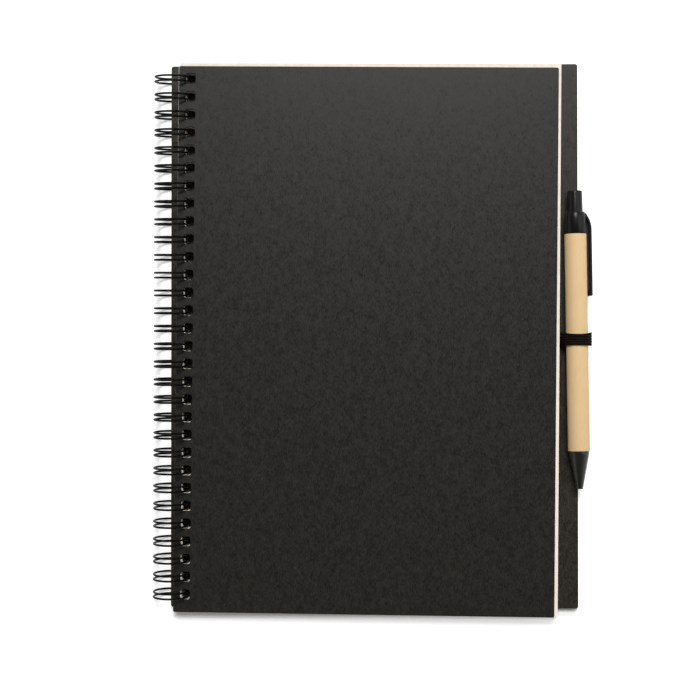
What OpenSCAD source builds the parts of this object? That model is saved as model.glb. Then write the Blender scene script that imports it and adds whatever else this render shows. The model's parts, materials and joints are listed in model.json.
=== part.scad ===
/* [Pages] */
// Height of the pages along the binding; the covers and the number of teeth follow it
page_h = 260.6; // [250:0.2:272]
// Width of the pages; the covers and the pen follow it
page_w = 181.1; // [172:0.1:190]
// Thickness of the whole block of sheets
page_t = 6.4; // [3:0.1:7]

/* [Covers] */
// How much shorter both covers are than the pages, along the binding
cover_short = 1.4; // [0:0.1:4]
// How far the front cover stops short of the pages' width
front_short = 1.15; // [0:0.05:4]
// How much wider the back cover is than the pages, to carry the pen
pen_ledge = 13.1; // [12:0.1:20]
// Thickness of each cover board
board_t = 1.5; // [1:0.1:2]
// Radius of the cover corners
corner_r = 0.8; // [0.4:0.1:2]

/* [Binding] */
// Distance from one tooth to the next
tooth_pitch = 8.467; // [8:0.001:8.6]
// Radius of the loops, to the middle of the wire
ring_r = 8; // [8:0.1:9]
// Diameter of the wire
wire_d = 1; // [0.6:0.05:1.1]
// Distance between the two wires of a tooth
twin_gap = 2.3; // [2:0.1:2.4]
// How far the loops lean along the binding from their foot to their top
ring_lean = 0.9; // [0:0.1:1]
// Length of each punched hole across the binding
hole_l = 4.6; // [4.6:0.1:5.5]
// Width of each punched hole along the binding
hole_w = 4.7; // [4.4:0.1:5]

/* [Settling] */
// Angle that the wire is turned from the notebook's own length; the pages and the cover turn about it
wire_skew = 0.2; // [0:0.02:0.3]
// Angle that the back cover has slipped round on the wire
back_skew = 0.1; // [0:0.02:0.2]
// Angle that the front cover has slipped round on the wire
front_skew = 0.68; // [0:0.02:0.7]
// Angle that the pages have slipped round on the wire
page_skew = 0.59; // [0:0.01:0.65]

/* [Pen] */
// Diameter of the paper barrel
barrel_d = 10.35; // [8:0.05:11]
// Length of the paper barrel
barrel_l = 102.3; // [90:0.1:110]
// Length of the nose cone
nose_l = 17.9; // [14:0.1:22]
// Length of the top housing that shows above the barrel
housing_l = 10.5; // [8:0.5:14]
// Length of the push button that shows above the housing
button_l = 9.9; // [8:0.1:13]
// Travel of the push button
button_travel = 5; // [3:0.5:6]
// Length of the clip
clip_l = 39.8; // [30:0.2:50]
// Thickness of the clip
clip_t = 1.5; // [1.2:0.1:2]
// Angle that the clip is turned round the pen, towards the table
clip_turn = 14; // [0:1:20]
// Angle between the pen and the binding
pen_tilt = 0.75; // [0:0.05:1]

/* [Elastic] */
// Width of the elastic band
elastic_w = 5.5; // [4:0.5:10]
// Thickness of the elastic band
elastic_t = 0.85; // [0.6:0.05:1]

/* [Hidden] */

// Cutters reach this far past the faces that they open
cut_past = 1;

// Heights above the table: the loops touch it, and the back board lies inside them
wire_r = wire_d / 2;
axis_z = ring_r + wire_r;
back_z = 1.6;
sheet_gap = 0.1;
bed_top = back_z + board_t;
pages_z = bed_top + sheet_gap;
front_z = pages_z + page_t;

// As many teeth as fit go along the pages, up to the number that keeps the wire's solid light
most_teeth = 31;
n_teeth = min(most_teeth, floor(page_h / tooth_pitch));
tooth_span = (n_teeth - 1) * tooth_pitch + twin_gap + wire_d;

// Cover boards: the back one is centred on the wire that passes through it, the front one hangs
// against the inside of the wire
cover_h = page_h - cover_short;
front_w = page_w - front_short;
back_w = page_w + pen_ledge;
edge_to_hole = 3.23;
hole_play = 0.15;
back_left = -0.87;
front_drop = 1.15;
back_rise = 0.2;
front_shift = tooth_span / 2 * sin(front_skew - wire_skew);
front_hole_x = wire_edge_x(front_z + board_t, -1) - front_shift - hole_play + hole_l / 2;
back_hole_x = (wire_edge_x(back_z, -1) + wire_edge_x(bed_top, 1)) / 2;

// Comb of the wire: the spine joins the teeth under the back board and the tips close up to it
spine_angle = -87.5;
bend_r = 1;
tip_clear = 0.6;
arc_steps = 13;
tip_steps = 4;
bend_steps = 2;
wire_sides = 6;

// Sheets: the lower ones hang against the inside of the wire, the upper ones lie straight above each other
sheet_edge = 2.97;
top_hole_x = 8.2;
stack_steps = 6;
skew_shift = tooth_span / 2 * sin(page_skew - wire_skew);
page_left = sheet_hole_x(front_z) - hole_l / 2 - sheet_edge;
page_right = page_left + page_w;

// Pen, measured from its point along its own axis
barrel_r = barrel_d / 2;
barrel_wall = 1;
fit_clear = 0.1;
inner_r = barrel_r - barrel_wall - fit_clear;
plug_l = 6;
plug_wall = 1;
barrel_s = nose_l;
housing_s = barrel_s + barrel_l;
button_s = housing_s + housing_l;
pen_mid_s = 70.3;
pen_mid_y = -2.15;

// Clip housing: a rounded shoulder, and a clip that springs from it beside the barrel
housing_lip = 0.05;
housing_taper = 0.1;
shoulder_l = 4;
mouth_wall = 0.6;
ledge = 1;
clip_gap = 0.9;
clip_w = 4.4;
clip_bend = 12;
clip_sweep = 45;
clip_under = 32;
clip_bead = 2.2;
clip_root = 2.6;
clip_reach = barrel_r + clip_gap + clip_t;

// Nose cone: a short collar against the barrel, a straight taper and a plain mouth
collar_l = 1.5;
nose_d = 9.6;
nose_tip_d = 3.2;
nose_bore_d = 2.6;
spring_seat = 8;

// Push button: a stem that pushes the refill, a skirt under the housing's mouth, and the part for the thumb
button_d = 6.6;
button_base_d = 7.2;
button_round = 0.5;
stem_d = 5.2;
stem_l = housing_l + ledge;
press_room = 0.3;
button_skirt = housing_l - ledge - button_travel - press_room;

// Refill and its return spring
refill_d = 3;
point_d = 2.3;
ball_d = 0.7;
point_out = 0.4;
point_taper_l = 3.6;
refill_front = 14;
spring_d = 4.4;
spring_wire_d = 0.5;
spring_l = 12;
spring_clear = 0.3;

// Elastic: legs go down through a slot beside the pages, and tails are glued under the board
slot_clear = 0.15;
slot_gap = 1.15;
tail_l = 9;
short_tail_l = 6.3;
band_clear = 0.25;
band_slack = 0.7;
pen_gap = 3.1;
slot_x = page_right + slot_gap;
pen_x = page_right + pen_gap + barrel_r;
pen_z = bed_top + elastic_t + band_clear + barrel_r;

// The part's origin is under the middle of everything; the places above are taken from the loops' axis
reach_right = pen_x + clip_reach * cos(clip_turn) + clip_w / 2 * sin(clip_turn);
origin_x = -(reach_right - ring_r - wire_r) / 2;
origin_y = page_w / 2 * sin(page_skew);

// Distance of the wire's outer (side = 1) or inner (side = -1) edge from the loops' axis at height z
function wire_edge_x(z, side) = sqrt(pow(ring_r + side * wire_r, 2) - pow(z - axis_z, 2));

// Middle of the sheets' holes at height z, so far in that the skewed row still clears the wire
function sheet_hole_x(z) = min(top_hole_x,
    wire_edge_x(min(z, axis_z), -1) - skew_shift - hole_play + hole_l / 2);

// Lean of the loops at height z, along the binding
function lean_y(z) = -ring_lean * (z - axis_z) / (2 * ring_r);

// Points of an elliptical arc about [x, y], from angle a to angle b
function arc(x, y, rx, ry, a, b, steps = 5) = [
    for (i = [0:steps]) let (t = a + (b - a) * i / steps) [x + rx * cos(t), y + ry * sin(t)]
];

// Outline of a rectangle from [0, -h / 2] to [w, h / 2] with round corners
function round_rect(w, h, r) = concat(
    arc(w - r, h / 2 - r, r, r, 0, 90),
    arc(r, h / 2 - r, r, r, 90, 180),
    arc(r, r - h / 2, r, r, 180, 270),
    arc(w - r, r - h / 2, r, r, 270, 360)
);

module place() translate([origin_x, origin_y, 0]) children();

// Children once for each tooth, spread along the binding
module each_tooth() for (i = [0:n_teeth - 1])
    translate([0, (i - (n_teeth - 1) / 2) * tooth_pitch, 0]) children();

// A punched cover board with its hole row at x = 0
module board(width, left, rise) difference() {
    translate([left, rise, 0]) linear_extrude(board_t) polygon(round_rect(width, cover_h, corner_r));
    each_tooth() translate([-hole_l / 2, -hole_w / 2, -cut_past])
        cube([hole_l, hole_w, board_t + 2 * cut_past]);
}

module back_cover() color("#3e3d3b") place() difference() {
    translate([back_hole_x, 0, back_z]) rotate(-back_skew)
        board(back_w, back_left - back_hole_x, back_rise);
    elastic_slot();
}

module front_cover() color("#42403e") place() translate([front_hole_x, 0, front_z]) rotate(-front_skew)
    board(front_w, -hole_l / 2 - edge_to_hole, -front_drop);

// Side outline of the stack of sheets, from x0 to x1 past the middle of its holes
function stack_outline(x0, x1) = let (rise = page_t / stack_steps) concat(
    [for (i = [0:stack_steps]) [sheet_hole_x(pages_z + i * rise) + x0, pages_z + i * rise]],
    [for (i = [stack_steps:-1:0]) [sheet_hole_x(pages_z + i * rise) + x1, pages_z + i * rise]]
);

module stack_slab(x0, x1, h) rotate([90, 0, 0]) linear_extrude(h, center = true)
    polygon(stack_outline(x0, x1));

module page_block() color("#efe3cf") place() rotate(-page_skew) difference() {
    stack_slab(-hole_l / 2 - sheet_edge, page_w - hole_l / 2 - sheet_edge, page_h);
    each_tooth() stack_slab(-hole_l / 2, hole_l / 2, hole_w);
}

// Middle line of the wire as a flat comb, before it is rolled round the loops.
// Each point is [along the loop, along the binding, heading].
arc0 = spine_angle * PI / 180 * ring_r + bend_r;
arc1 = (spine_angle + 360) * PI / 180 * ring_r + bend_r - tip_clear - wire_d - twin_gap / 2;
arc_step = (arc1 - arc0) / arc_steps;
spine_l = tooth_pitch - twin_gap;
comb = [for (i = [0:n_teeth - 1]) each tooth((i - (n_teeth - 1) / 2) * tooth_pitch, i == n_teeth - 1)];

// One tooth: out along the loop, round the tip, back, and along the spine to the next tooth
function tooth(y, last) = concat(
    [for (k = [0:arc_steps - 1]) [arc0 + arc_step * k, y - twin_gap / 2, 0]],
    [for (k = [0:tip_steps]) tip_point(y, 180 * k / tip_steps)],
    [for (k = [arc_steps - 1:-1:(last ? 0 : 1)]) [arc0 + arc_step * k, y + twin_gap / 2, 180]],
    last ? [] : [for (k = [0:bend_steps]) bend_out(y + twin_gap / 2, 90 * k / bend_steps)],
    last ? [] : [for (k = [0:bend_steps - 1]) bend_in(y + twin_gap / 2, 90 * k / bend_steps)]
);
function tip_point(y, a) = [arc1 + twin_gap / 2 * sin(a), y - twin_gap / 2 * cos(a), a];
function bend_out(y, a) = [arc0 - bend_r * sin(a), y + bend_r * (1 - cos(a)), 180 - a];
function bend_in(y, a) = [arc0 - bend_r * cos(a), y + spine_l - bend_r * (1 - sin(a)), 90 - a];

// The wire's chords stand out by half their depth, so that the loop keeps its radius on average
chord_r = ring_r * (1 + (1 - cos(arc_step / ring_r * 90 / PI)) / 2);

// A corner of the wire's section, rolled from the flat comb onto the loops
function rolled(p, k) = let (
    a = 360 * k / wire_sides,
    side = wire_r * sin(a),
    r = chord_r + wire_r * cos(a),
    turn = (p[0] - side * sin(p[2])) / ring_r * 180 / PI,
    z = axis_z + r * sin(turn)
) [r * cos(turn), p[1] + side * cos(p[2]) + lean_y(z), z];

// Four corners of the wall between two sections of the wire
function wall(i, k) = let (
    a = i * wire_sides + k,
    b = i * wire_sides + (k + 1) % wire_sides
) [a, a + wire_sides, b + wire_sides, b];

module binding_wire() color("#181716") place() rotate(-wire_skew) polyhedron(
    points = [for (p = comb) for (k = [0:wire_sides - 1]) rolled(p, k)],
    faces = concat(
        [[for (k = [0:wire_sides - 1]) k]],
        [for (i = [0:len(comb) - 2]) for (k = [0:wire_sides - 1]) wall(i, k)],
        [[for (k = [wire_sides - 1:-1:0]) (len(comb) - 1) * wire_sides + k]]
    )
);

// Middle line of the elastic in the plane across the pen, from the left tail to the right tail
band_r = barrel_r + band_clear + elastic_t / 2;
leg_left = slot_x - (elastic_t + slot_clear) / 2;
leg_right = slot_x + (elastic_t + slot_clear) / 2;
tail_z = back_z - slot_clear - elastic_t / 2;
bed_z = bed_top + elastic_t / 2;
knee_z = bed_z + elastic_t * 1.5;
band_first = 165;
band_last = -75;
band_turn = 15;
band_line = concat(
    [[leg_left - tail_l, tail_z], [leg_left, tail_z], [leg_left, knee_z]],
    [for (a = [band_first:-band_turn:band_last]) band_point(a, band_r + band_slack * pow(max(0, cos(a)), 2))],
    [[pen_x, bed_z], [leg_right, bed_z], [leg_right, tail_z], [leg_right + short_tail_l, tail_z]]
);
function band_point(a, r) = [pen_x + r * cos(a), pen_z + r * sin(a)];

// Unit vector from a to b, and a point of the band's edge at distance d from its middle line
function unit(a, b) = (b - a) / norm(b - a);
function edge_point(line, i, d) = let (
    n = len(line) - 1,
    u = i == 0 ? unit(line[0], line[1]) : unit(line[i - 1], line[i]),
    v = i == n ? unit(line[n - 1], line[n]) : unit(line[i], line[i + 1]),
    m = [-(u[1] + v[1]), u[0] + v[0]]
) line[i] + d * 2 * m / (m * m);

module elastic_loop() color("#1c1b1a") place() translate([0, pen_mid_y + elastic_w / 2, 0])
    rotate([90, 0, 0]) linear_extrude(elastic_w) polygon(concat(
        [for (i = [0:len(band_line) - 1]) edge_point(band_line, i, elastic_t / 2)],
        [for (i = [len(band_line) - 1:-1:0]) edge_point(band_line, i, -elastic_t / 2)]
    ));

module elastic_slot() translate([
    slot_x - elastic_t - slot_clear * 1.5,
    pen_mid_y - elastic_w / 2 - slot_clear,
    back_z - cut_past
]) cube([2 * elastic_t + 3 * slot_clear, elastic_w + 2 * slot_clear, board_t + 2 * cut_past]);

// Children, modelled standing on the pen's point, laid beside the pages
module lay_pen() place() translate([pen_x, pen_mid_y, pen_z]) rotate(pen_tilt) rotate([-90, 0, 0])
    translate([0, 0, -pen_mid_s]) children();

module turned(profile) rotate_extrude($fn = 64) polygon(profile);

module pen_barrel() color("#dcbf91") lay_pen() translate([0, 0, barrel_s]) turned([
    [barrel_r - barrel_wall, 0],
    [barrel_r, 0],
    [barrel_r, barrel_l],
    [barrel_r - barrel_wall, barrel_l]
]);

module pen_nose() color("#1d1b1a") lay_pen() turned([
    [nose_bore_d / 2, 0],
    [nose_tip_d / 2, 0],
    [nose_d / 2, barrel_s - collar_l],
    [nose_d / 2, barrel_s],
    [inner_r, barrel_s],
    [inner_r, barrel_s + plug_l],
    [inner_r - plug_wall, barrel_s + plug_l],
    [spring_d / 2 + spring_clear, spring_seat],
    [nose_bore_d / 2, spring_seat]
]);

// Housing profile from its plug in the barrel, over the shoulder, to its mouth
mouth_r = button_base_d / 2 + fit_clear;
crown_r = mouth_r + mouth_wall;
waist_r = barrel_r - housing_taper;
module pen_housing() color("#1d1b1a") lay_pen() {
    translate([0, 0, housing_s]) turned(concat(
        [
            [inner_r - plug_wall, -plug_l],
            [inner_r, -plug_l],
            [inner_r, 0],
            [barrel_r + housing_lip, 0]
        ],
        arc(crown_r, housing_l - shoulder_l, waist_r - crown_r, shoulder_l, 0, 90),
        [[mouth_r, housing_l], [mouth_r, ledge], [inner_r - plug_wall, ledge]]
    ));
    clip();
}

// Spring clip moulded on the housing: a round shoulder and a flat arm with a bead at its end
clip_in = barrel_r + clip_gap;
clip_mid = clip_reach - clip_bend;
clip_drop = clip_bend * sin(clip_sweep);
module clip() translate([0, 0, button_s]) rotate([90, 0, clip_turn])
    linear_extrude(clip_w, center = true) polygon(concat(
    [[crown_r - mouth_wall / 2, -clip_root], [crown_r - mouth_wall / 2, 0]],
    arc(clip_mid, -clip_drop, clip_bend, clip_bend, clip_sweep, 0, 6),
    arc(clip_reach - clip_t / 2, -clip_l + clip_t / 2, clip_t / 2, clip_t / 2, 0, -90, 3),
    [[clip_in, -clip_l], [barrel_r + fit_clear, -clip_l + clip_bead / 4]],
    [[barrel_r + fit_clear, -clip_l + clip_bead], [clip_in, -clip_l + 2 * clip_bead]],
    arc(clip_mid, -clip_drop, clip_bend - clip_t, clip_bend - clip_t, 0, clip_under)
));

module pen_button() color("#1a1918") lay_pen() translate([0, 0, button_s]) turned(concat(
    [
        [0, -stem_l],
        [stem_d / 2, -stem_l],
        [stem_d / 2, -button_skirt],
        [button_base_d / 2, -button_skirt],
        [button_base_d / 2, 0]
    ],
    arc(button_d / 2 - button_round, button_l - button_round, button_round, button_round, 0, 90, 4),
    [[0, button_l]]
));

refill_back = button_s - stem_l;
module refill_tube() color("#d9d6cf") lay_pen() translate([0, 0, refill_front])
    cylinder(d = refill_d, h = refill_back - refill_front, $fn = 32);

module refill_point() color("#b08d4f") lay_pen() turned([
    [0, point_out],
    [ball_d / 2, point_out],
    [point_d / 2, point_out + point_taper_l],
    [point_d / 2, refill_front],
    [0, refill_front]
]);

module pen_spring() color("#b9b9b9") lay_pen() translate([0, 0, spring_seat]) difference() {
    cylinder(d = spring_d, h = spring_l, $fn = 32);
    translate([0, 0, -cut_past])
        cylinder(d = spring_d - 2 * spring_wire_d, h = spring_l + 2 * cut_past, $fn = 32);
}

back_cover();
page_block();
front_cover();
binding_wire();
elastic_loop();
pen_barrel();
pen_housing();
pen_nose();
pen_button();
refill_tube();
refill_point();
pen_spring();
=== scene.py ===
"""Wire-bound notebook with a pen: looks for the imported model, in metres, in the model's own frame."""

import json
import logging
import math
import random
from dataclasses import dataclass, field
from enum import Enum
from typing import Any, Callable, Optional

import bmesh
import bpy
from mathutils import Matrix, Vector


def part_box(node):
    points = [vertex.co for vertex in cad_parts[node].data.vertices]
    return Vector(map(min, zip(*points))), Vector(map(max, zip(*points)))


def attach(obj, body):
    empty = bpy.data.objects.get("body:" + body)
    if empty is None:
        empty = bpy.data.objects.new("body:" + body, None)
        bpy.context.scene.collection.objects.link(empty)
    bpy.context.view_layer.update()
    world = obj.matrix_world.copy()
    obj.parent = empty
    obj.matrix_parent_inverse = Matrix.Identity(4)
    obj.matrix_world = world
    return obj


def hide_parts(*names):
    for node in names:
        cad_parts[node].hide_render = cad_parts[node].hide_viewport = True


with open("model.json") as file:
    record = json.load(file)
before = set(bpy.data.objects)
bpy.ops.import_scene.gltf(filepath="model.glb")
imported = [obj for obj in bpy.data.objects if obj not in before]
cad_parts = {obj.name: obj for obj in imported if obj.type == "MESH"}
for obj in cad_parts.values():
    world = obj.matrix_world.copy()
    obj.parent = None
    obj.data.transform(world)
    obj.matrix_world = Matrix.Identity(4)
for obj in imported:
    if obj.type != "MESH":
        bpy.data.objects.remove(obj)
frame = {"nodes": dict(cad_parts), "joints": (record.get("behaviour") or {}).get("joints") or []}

LOG = logging.getLogger("notebook")
MM = 0.001
WELD_GAP = 0.002 * MM
JOINT_GAP = 0.01 * MM


class Body(Enum):
    """The moving groups of the notebook."""

    BASE = "base"
    PAGES = "pages"
    FRONT = "front"
    CLICKER = "clicker"


class Dir(Enum):
    """Main directions of the notebook's frame."""

    ACROSS = Vector((1, 0, 0))
    ALONG = Vector((0, 1, 0))
    UP = Vector((0, 0, 1))


def linear(code: str) -> tuple[float, float, float, float]:
    """Turn an sRGB hex colour into the linear colour that shaders take.

    Args:
        code: the colour, such as "#3a3936".

    Returns:
        Red, green, blue and alpha, linear.
    """
    parts = [int(code[i:i + 2], 16) / 255 for i in (1, 3, 5)]
    red, green, blue = (c / 12.92 if c <= 0.04045 else ((c + 0.055) / 1.055) ** 2.4 for c in parts)
    return (red, green, blue, 1.0)


def add_node(tree: bpy.types.NodeTree, kind: str, settings: Optional[dict[Any, Any]] = None,
             links: Optional[dict[Any, bpy.types.NodeSocket]] = None) -> bpy.types.Node:
    """Add one shader node with its settings and links.

    Args:
        tree: the node tree of the material.
        kind: the node's type name.
        settings: values by property name or by input; "stops" holds a ramp's places and hex
            colours, in order.
        links: sockets to link from, by input name or index.

    Returns:
        The new node.
    """
    node = tree.nodes.new(kind)
    for name, value in (settings or {}).items():
        if name == "stops":
            elements = node.color_ramp.elements
            for index, (place, code) in enumerate(value):
                element = elements[index] if index < 2 else elements.new(place)
                element.position, element.color = place, linear(code)
        elif isinstance(name, str) and hasattr(node, name):
            setattr(node, name, value)
        else:
            node.inputs[name].default_value = value
    for name, socket in (links or {}).items():
        tree.links.new(socket, node.inputs[name])
    return node


def sees_set(tree: bpy.types.NodeTree) -> bpy.types.NodeSocket:
    """Pick out the rays that show the white set: the camera's, reflections, and those through glass.

    Args:
        tree: the node tree of the floor's paper or of the world.

    Returns:
        A socket that is 1 for those rays and 0 for the others.
    """
    path = add_node(tree, "ShaderNodeLightPath")
    mirrored = add_node(tree, "ShaderNodeMath", {"operation": "MAXIMUM"},
                        {0: path.outputs["Is Glossy Ray"], 1: path.outputs["Is Transmission Ray"]})
    seen = add_node(tree, "ShaderNodeMath", {"operation": "MAXIMUM"},
                    {0: path.outputs["Is Camera Ray"], 1: mirrored.outputs[0]})
    return seen.outputs[0]


@dataclass(frozen=True)
class Finish:
    """A surface finish: what the real surface is made of and how it was made."""

    name: str
    slot: str

    def material(self) -> bpy.types.Material:
        """Make the finish's material, unless it is there already.

        Returns:
            The material.
        """
        if self.name in bpy.data.materials:
            return bpy.data.materials[self.name]
        made = bpy.data.materials.new(self.name)
        made.use_nodes = True
        tree = made.node_tree
        tree.nodes.clear()
        surface = self.surface(tree)
        add_node(tree, "ShaderNodeOutputMaterial", links={"Surface": surface.outputs[0]})
        return made

    def surface(self, tree: bpy.types.NodeTree) -> bpy.types.Node:
        """Build the shader. Each finish has its own."""
        raise NotImplementedError

    def pattern(self, tree: bpy.types.NodeTree, kind: str, cell_mm: tuple[float, float, float],
                **settings: Any) -> bpy.types.Node:
        """Add a pattern whose cells have real sizes, on the piece's own coordinates.

        Args:
            tree: the node tree of the material.
            kind: the pattern node's type name.
            cell_mm: size of a cell along X, Y and Z in millimetres.
            settings: the pattern node's own settings.

        Returns:
            The pattern node, at scale 1 on coordinates measured in cells.
        """
        place = add_node(tree, "ShaderNodeTexCoord")
        scale = tuple(1 / (c * MM) for c in cell_mm)
        mapping = add_node(tree, "ShaderNodeMapping", {"Scale": scale}, {"Vector": place.outputs["Object"]})
        return add_node(tree, kind, {"Scale": 1.0, **settings}, {"Vector": mapping.outputs["Vector"]})


@dataclass(frozen=True)
class CoverBoard(Finish):
    """Dyed recycled board, machine made and uncoated: its short fibres lie along the machine's direction."""

    dark: str = "#13120f"
    pale: str = "#23211d"
    fleck: str = "#3c3a34"
    # Real fibres are about 0.03 mm wide, too fine to show, so they are drawn this coarse.
    fibre_mm: float = 0.5
    cloud_mm: float = 2.4
    fleck_mm: float = 0.6
    fibre_stretch: float = 3
    cloud_stretch: float = 1.6
    fleck_stretch: float = 2.2
    fibre_share: float = 0.7
    cloud_share: float = 0.3
    relief_mm: float = 0.05

    def surface(self, tree: bpy.types.NodeTree) -> bpy.types.Node:
        """Mottled charcoal with upright fibres, a few pale flecks and a soft, dry sheen.

        Args:
            tree: the node tree of the material.

        Returns:
            The surface's shader node.
        """
        fibre = self.pattern(tree, "ShaderNodeTexNoise",
                             (self.fibre_mm, self.fibre_mm * self.fibre_stretch, self.fibre_mm),
                             Detail=4.0, Roughness=0.65)
        cloud = self.pattern(tree, "ShaderNodeTexNoise",
                             (self.cloud_mm, self.cloud_mm * self.cloud_stretch, self.cloud_mm), Detail=4.0)
        part = add_node(tree, "ShaderNodeMath", {"operation": "MULTIPLY", 1: self.cloud_share},
                        {0: cloud.outputs["Fac"]})
        felt = add_node(tree, "ShaderNodeMath", {"operation": "MULTIPLY_ADD", 1: self.fibre_share},
                        {0: fibre.outputs["Fac"], 2: part.outputs[0]})
        ground = add_node(tree, "ShaderNodeValToRGB", {"stops": [(0.38, self.dark), (0.6, self.pale)]},
                          {0: felt.outputs[0]})
        speck = self.pattern(tree, "ShaderNodeTexNoise",
                             (self.fleck_mm, self.fleck_mm * self.fleck_stretch, self.fleck_mm), Detail=1.0)
        share = add_node(tree, "ShaderNodeMapRange", {"From Min": 0.74, "From Max": 0.82},
                         {"Value": speck.outputs["Fac"]})
        colour = add_node(tree, "ShaderNodeMix", {"data_type": "RGBA", 7: linear(self.fleck)},
                          {0: share.outputs[0], 6: ground.outputs[0]})
        rough = add_node(tree, "ShaderNodeMapRange",
                         {"From Min": 0.35, "From Max": 0.65, "To Min": 0.26, "To Max": 0.44},
                         {"Value": felt.outputs[0]})
        bump = add_node(tree, "ShaderNodeBump", {"Strength": 0.6, "Distance": self.relief_mm * MM},
                        {"Height": felt.outputs[0]})
        return add_node(tree, "ShaderNodeBsdfPrincipled", {"IOR": 1.3},
                        {"Base Color": colour.outputs[2], "Roughness": rough.outputs[0],
                         "Normal": bump.outputs[0]})


@dataclass(frozen=True)
class WritingPaper(Finish):
    """Cream uncoated wood-free paper: matte, with faint cloudiness and a fine tooth."""

    base: str = "#f5ece1"
    shade: str = "#ecdfd0"
    cloud_mm: float = 3.0
    # The tooth of such paper is about 0.02 mm, too fine to show, so it is drawn this coarse.
    tooth_mm: float = 0.12
    leaf_mm: float = 0.1

    def surface(self, tree: bpy.types.NodeTree) -> bpy.types.Node:
        """Matte cream with a fine tooth.

        Args:
            tree: the node tree of the material.

        Returns:
            The surface's shader node.
        """
        cloud = self.pattern(tree, "ShaderNodeTexNoise", (self.cloud_mm, self.cloud_mm, self.leaf_mm),
                             Detail=3.0)
        tooth = self.pattern(tree, "ShaderNodeTexNoise", (self.tooth_mm,) * 3, Detail=2.0)
        colour = add_node(tree, "ShaderNodeValToRGB", {"stops": [(0.3, self.shade), (0.65, self.base)]},
                          {0: cloud.outputs["Fac"]})
        bump = add_node(tree, "ShaderNodeBump", {"Strength": 0.2, "Distance": 0.01 * MM},
                        {"Height": tooth.outputs["Fac"]})
        return add_node(tree, "ShaderNodeBsdfPrincipled", {"Roughness": 0.85, "IOR": 1.4},
                        {"Base Color": colour.outputs[0], "Normal": bump.outputs[0]})


@dataclass(frozen=True)
class NylonCoat(Finish):
    """Steel wire with a black nylon coat: smooth, with long thin highlights."""

    base: str = "#020202"
    worn: str = "#060505"
    flow_mm: float = 1.2

    def surface(self, tree: bpy.types.NodeTree) -> bpy.types.Node:
        """Near-black with a gloss that varies a little along the wire.

        Args:
            tree: the node tree of the material.

        Returns:
            The surface's shader node.
        """
        flow = self.pattern(tree, "ShaderNodeTexNoise", (self.flow_mm,) * 3, Detail=2.0)
        rough = add_node(tree, "ShaderNodeMapRange", {"To Min": 0.24, "To Max": 0.38},
                         {"Value": flow.outputs["Fac"]})
        colour = add_node(tree, "ShaderNodeValToRGB", {"stops": [(0.3, self.base), (0.8, self.worn)]},
                          {0: flow.outputs["Fac"]})
        return add_node(tree, "ShaderNodeBsdfPrincipled", {"IOR": 1.16},
                        {"Base Color": colour.outputs[0], "Roughness": rough.outputs[0]})


@dataclass(frozen=True)
class KraftPaper(Finish):
    """Wound brown kraft paper: long fibres, matte, slightly uneven in tone."""

    dark: str = "#d8b788"
    base: str = "#dcbc8d"
    pale: str = "#e1c293"
    # Kraft fibres are about 0.03 mm wide, too fine to show, so they are drawn this coarse.
    fibre_mm: float = 0.3
    cloud_mm: float = 6.0
    fibre_stretch: float = 8
    cloud_stretch: float = 2

    def surface(self, tree: bpy.types.NodeTree) -> bpy.types.Node:
        """Warm tan with fibres along the barrel.

        Args:
            tree: the node tree of the material.

        Returns:
            The surface's shader node.
        """
        fibre = self.pattern(tree, "ShaderNodeTexNoise",
                             (self.fibre_mm, self.fibre_mm * self.fibre_stretch, self.fibre_mm), Detail=4.0)
        cloud = self.pattern(tree, "ShaderNodeTexNoise",
                             (self.cloud_mm, self.cloud_mm * self.cloud_stretch, self.cloud_mm), Detail=3.0)
        mixed = add_node(tree, "ShaderNodeMix", {"data_type": "FLOAT", 0: 0.5},
                         {2: fibre.outputs["Fac"], 3: cloud.outputs["Fac"]})
        colour = add_node(tree, "ShaderNodeValToRGB",
                          {"stops": [(0.3, self.dark), (0.5, self.base), (0.72, self.pale)]},
                          {0: mixed.outputs[0]})
        bump = add_node(tree, "ShaderNodeBump", {"Strength": 0.2, "Distance": 0.02 * MM},
                        {"Height": fibre.outputs["Fac"]})
        return add_node(tree, "ShaderNodeBsdfPrincipled", {"Roughness": 0.7, "IOR": 1.4},
                        {"Base Color": colour.outputs[0], "Normal": bump.outputs[0]})


@dataclass(frozen=True)
class MouldedPlastic(Finish):
    """Injection-moulded black plastic: an even satin skin from a lightly eroded mould."""

    base: str = "#070606"
    pale: str = "#0c0b0a"
    roughness: float = 0.3
    ior: float = 1.3
    # Mould grain is about 0.05 mm, too fine to show, so it is drawn this coarse.
    grain_mm: float = 0.15
    flow_mm: float = 6.0

    def surface(self, tree: bpy.types.NodeTree) -> bpy.types.Node:
        """Black with soft highlights and a grain too fine to see as dots.

        Args:
            tree: the node tree of the material.

        Returns:
            The surface's shader node.
        """
        grain = self.pattern(tree, "ShaderNodeTexNoise", (self.grain_mm,) * 3, Detail=2.0)
        bump = add_node(tree, "ShaderNodeBump", {"Strength": 0.15, "Distance": 0.01 * MM},
                        {"Height": grain.outputs["Fac"]})
        tone = self.pattern(tree, "ShaderNodeTexNoise", (self.flow_mm,) * 3, Detail=2.0)
        colour = add_node(tree, "ShaderNodeValToRGB", {"stops": [(0.3, self.base), (0.8, self.pale)]},
                          {0: tone.outputs["Fac"]})
        return add_node(tree, "ShaderNodeBsdfPrincipled", {"Roughness": self.roughness, "IOR": self.ior},
                        {"Base Color": colour.outputs[0], "Normal": bump.outputs[0]})


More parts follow.
